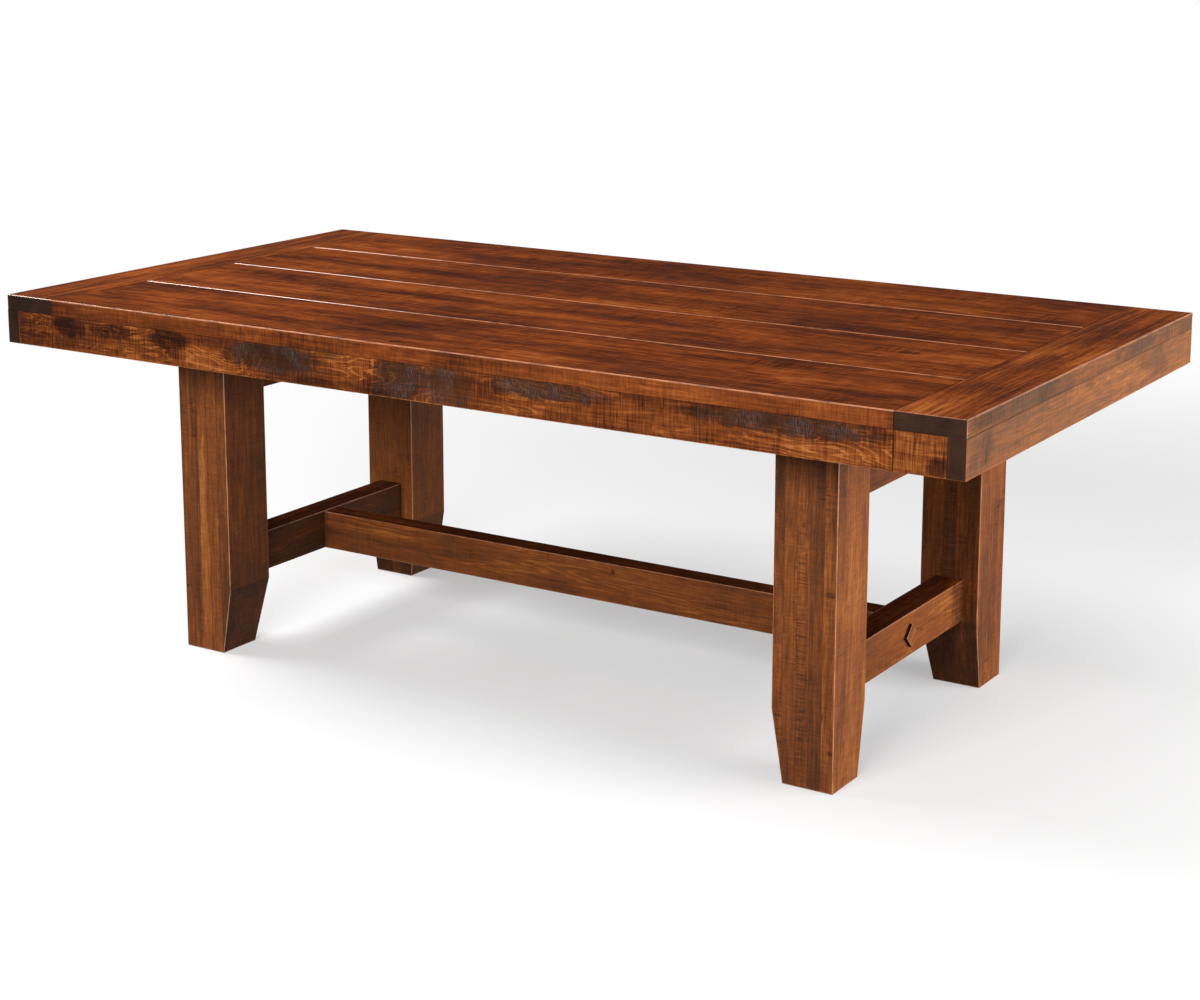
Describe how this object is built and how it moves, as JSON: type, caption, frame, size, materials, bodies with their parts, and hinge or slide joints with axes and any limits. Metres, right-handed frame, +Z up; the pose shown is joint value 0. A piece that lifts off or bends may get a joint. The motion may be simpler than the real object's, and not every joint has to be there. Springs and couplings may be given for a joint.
{
  "type": "farmhouse table",
  "caption": "Plank-topped dining table with breadboard ends, a deep built-up edge, square legs tapered at the foot and an H of stretchers.",
  "frame": {"origin": "on the floor, at the middle of the table's length and depth", "axes": "+X along the table to the right, -Y towards the front, +Z up"},
  "size_m": [2.16, 1.118, 0.762],
  "materials": {
    "plank_wood": "reddish-brown stain, satin lacquer",
    "breadboard_wood": "reddish-brown stain, satin lacquer",
    "skirt_wood": "rough-sawn, brown stain, satin lacquer",
    "leg_wood": "rough-sawn, brown stain, satin lacquer",
    "rail_wood": "brown stain, satin lacquer",
    "stretcher_wood": "brown stain, satin lacquer",
    "cap_wood": "brown stain, satin lacquer",
    "batten_wood": "plain sawn wood",
    "dowel_wood": "plain turned wood",
    "bolt_steel": "zinc plated"
  },
  "bodies": {
    "root": {"back_left_corner_block": "skirt_wood", "back_left_leg": "leg_wood", "back_middle_plank": "plank_wood", "back_plank": "plank_wood", "back_right_corner_block": "skirt_wood", "back_right_leg": "leg_wood", "back_skirt": "skirt_wood", "front_left_corner_block": "skirt_wood", "front_left_leg": "leg_wood", "front_middle_plank": "plank_wood", "front_plank": "plank_wood", "front_right_corner_block": "skirt_wood", "front_right_leg": "leg_wood", "front_skirt": "skirt_wood", "left_barrel_nut": "bolt_steel", "left_batten": "batten_wood", "left_bolt_cap": "cap_wood", "left_breadboard_end": "breadboard_wood", "left_breadboard_pegs": "dowel_wood", "left_cleat": "batten_wood", "left_cross_stretcher": "stretcher_wood", "left_end_rail": "rail_wood", "left_end_skirt": "skirt_wood", "left_tie_bolt": "bolt_steel", "left_top_bolts": "bolt_steel", "left_washers": "bolt_steel", "long_stretcher": "stretcher_wood", "middle_batten": "batten_wood", "right_barrel_nut": "bolt_steel", "right_batten": "batten_wood", "right_bolt_cap": "cap_wood", "right_breadboard_end": "breadboard_wood", "right_breadboard_pegs": "dowel_wood", "right_cleat": "batten_wood", "right_cross_stretcher": "stretcher_wood", "right_end_rail": "rail_wood", "right_end_skirt": "skirt_wood", "right_tie_bolt": "bolt_steel", "right_top_bolts": "bolt_steel", "right_washers": "bolt_steel"}
  },
  "joints": []
}
